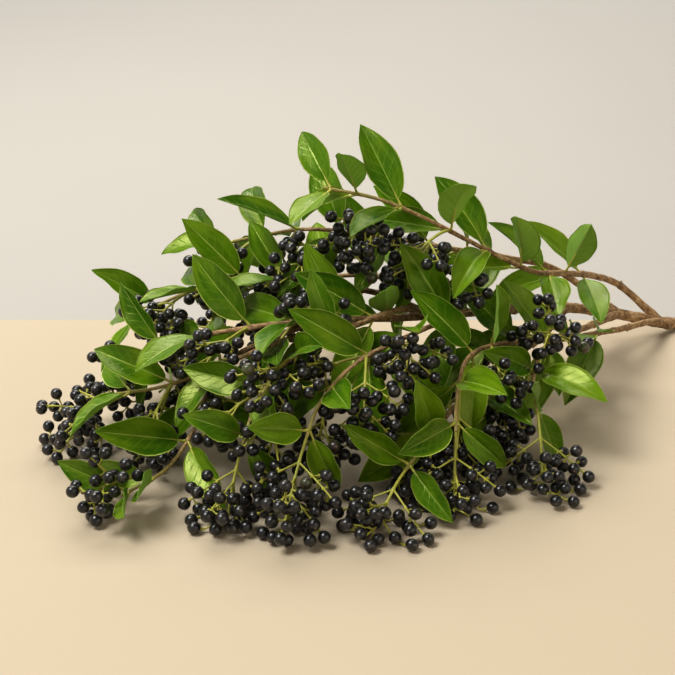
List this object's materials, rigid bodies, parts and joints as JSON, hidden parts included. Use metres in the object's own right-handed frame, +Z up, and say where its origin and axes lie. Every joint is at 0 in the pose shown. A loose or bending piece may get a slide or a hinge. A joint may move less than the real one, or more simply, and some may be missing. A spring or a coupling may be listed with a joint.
{
  "type": "black privet berry branch",
  "caption": "Cut leafy branch lying on its side, with forking woody stems, opposite pointed leaves and sprays of round black berries.",
  "frame": {"origin": "centre of the bounding box, on the surface that the branch lies on", "axes": "+X along the main stem towards its cut end, +Z up, +Y to the left when looking towards the cut end"},
  "size_m": [0.5554, 0.3303, 0.204],
  "materials": {
    "bark": "grey-brown bark with pale lenticels",
    "leaf": "glossy green leaves with a paler matt underside, on yellow-green stems",
    "berry": "blue-black skin with a dull bloom, on yellow-green stalks"
  },
  "bodies": {
    "root": {"back_berries_1": "berry", "back_berries_2": "berry", "back_berries_3": "berry", "back_berries_4": "berry", "back_berries_5": "berry", "back_left_berries_1": "berry", "back_left_berries_2": "berry", "back_left_stem": "leaf", "back_stem": "leaf", "front_left_berries_1": "berry", "front_left_berries_2": "berry", "front_left_berries_3": "berry", "front_left_berries_4": "berry", "front_left_berries_5": "berry", "front_left_stem": "leaf", "front_middle_berries_1": "berry", "front_middle_berries_2": "berry", "front_middle_berries_3": "berry", "front_middle_berries_4": "berry", "front_middle_stem": "leaf", "leader_berries_1": "berry", "leader_berries_2": "berry", "leader_berries_3": "berry", "leader_berries_4": "berry", "leader_berries_5": "berry", "leader_stem": "leaf", "left_berries_1": "berry", "left_berries_2": "berry", "left_berries_3": "berry", "left_front_berries_1": "berry", "left_front_berries_2": "berry", "left_front_berries_3": "berry", "left_front_berries_4": "berry", "left_front_stem": "leaf", "left_stem": "leaf", "low_berries_1": "berry", "low_front_berries_1": "berry", "low_front_berries_2": "berry", "low_front_berries_3": "berry", "low_front_berries_4": "berry", "low_front_stem": "leaf", "low_stem": "leaf", "main_stem": "bark", "right_front_berries_1": "berry", "right_front_berries_2": "berry", "right_front_berries_3": "berry", "right_front_stem": "leaf", "top_berries_1": "berry", "top_berries_2": "berry", "top_berries_3": "berry", "top_stem": "leaf", "upper_left_berries_1": "berry", "upper_left_berries_2": "berry", "upper_left_berries_3": "berry", "upper_left_berries_4": "berry", "upper_left_berries_5": "berry", "upper_left_berries_6": "berry", "upper_left_stem": "leaf"}
  },
  "joints": []
}
